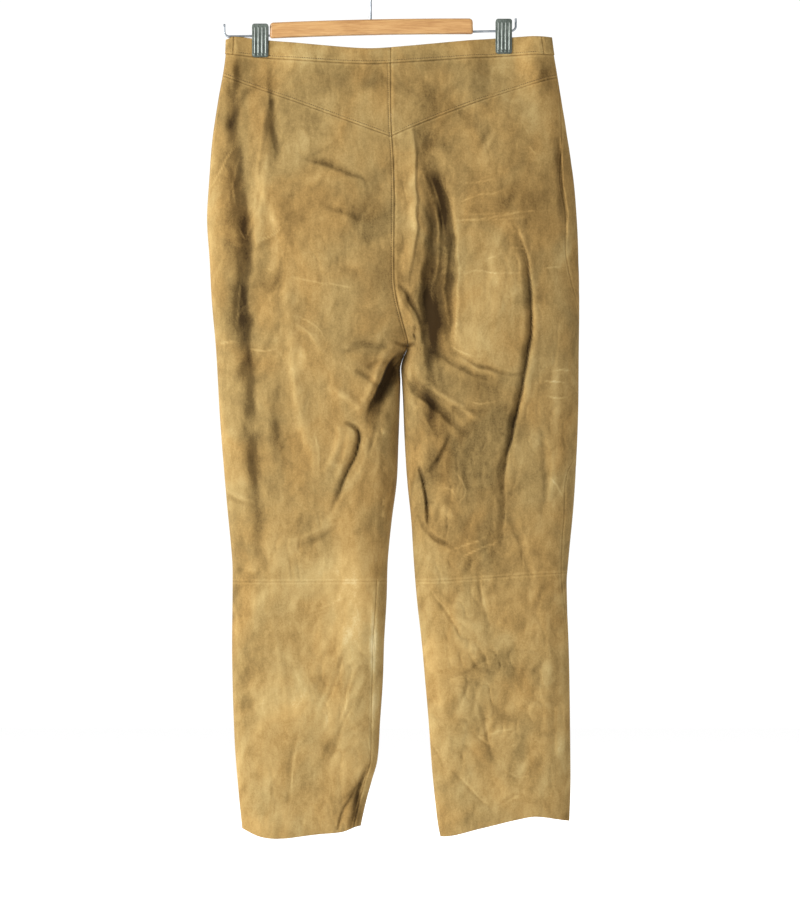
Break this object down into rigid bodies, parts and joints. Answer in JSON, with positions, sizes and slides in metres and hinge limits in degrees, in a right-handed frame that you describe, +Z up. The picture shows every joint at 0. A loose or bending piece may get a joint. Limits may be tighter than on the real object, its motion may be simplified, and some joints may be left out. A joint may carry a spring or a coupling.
{
  "type": "long suede leather trousers on a wooden clip hanger",
  "caption": "Long straight suede leather trousers with a back yoke, hung by the waistband from a wooden bar hanger with two metal clips.",
  "frame": {"origin": "inside top of the hanger's hook, where the rail carries it", "axes": "+Z up; the back of the trousers, which the picture shows, faces -Y; +X to the viewer's right, the wearer's right leg"},
  "size_m": [0.4761, 0.0777, 1.1174],
  "materials": {
    "suede": "soft napped suede, tan, mottled, matt",
    "wood": "pale clear-lacquered wood",
    "steel": "dull grey zinc plate",
    "horn": "semi-gloss brown"
  },
  "bodies": {
    "root": {"waistband_back_left": "suede", "waistband_front_left": "suede", "back_yoke_left": "suede", "back_upper_left": "suede", "back_lower_left": "suede", "front_upper_left": "suede", "front_lower_left": "suede", "waistband_back_right": "suede", "waistband_front_right": "suede", "back_yoke_right": "suede", "back_upper_right": "suede", "back_lower_right": "suede", "front_upper_right": "suede", "front_lower_right": "suede", "fly_facing": "suede", "waistband_button": "horn", "hanger_bar": "wood", "hanger_wire_left": "steel", "clip_left_back_jaw": "steel", "clip_left_front_jaw": "steel", "clip_left_spring": "steel", "hanger_wire_right": "steel", "clip_right_back_jaw": "steel", "clip_right_front_jaw": "steel", "clip_right_spring": "steel", "hanger_hook": "steel"}
  },
  "joints": []
}
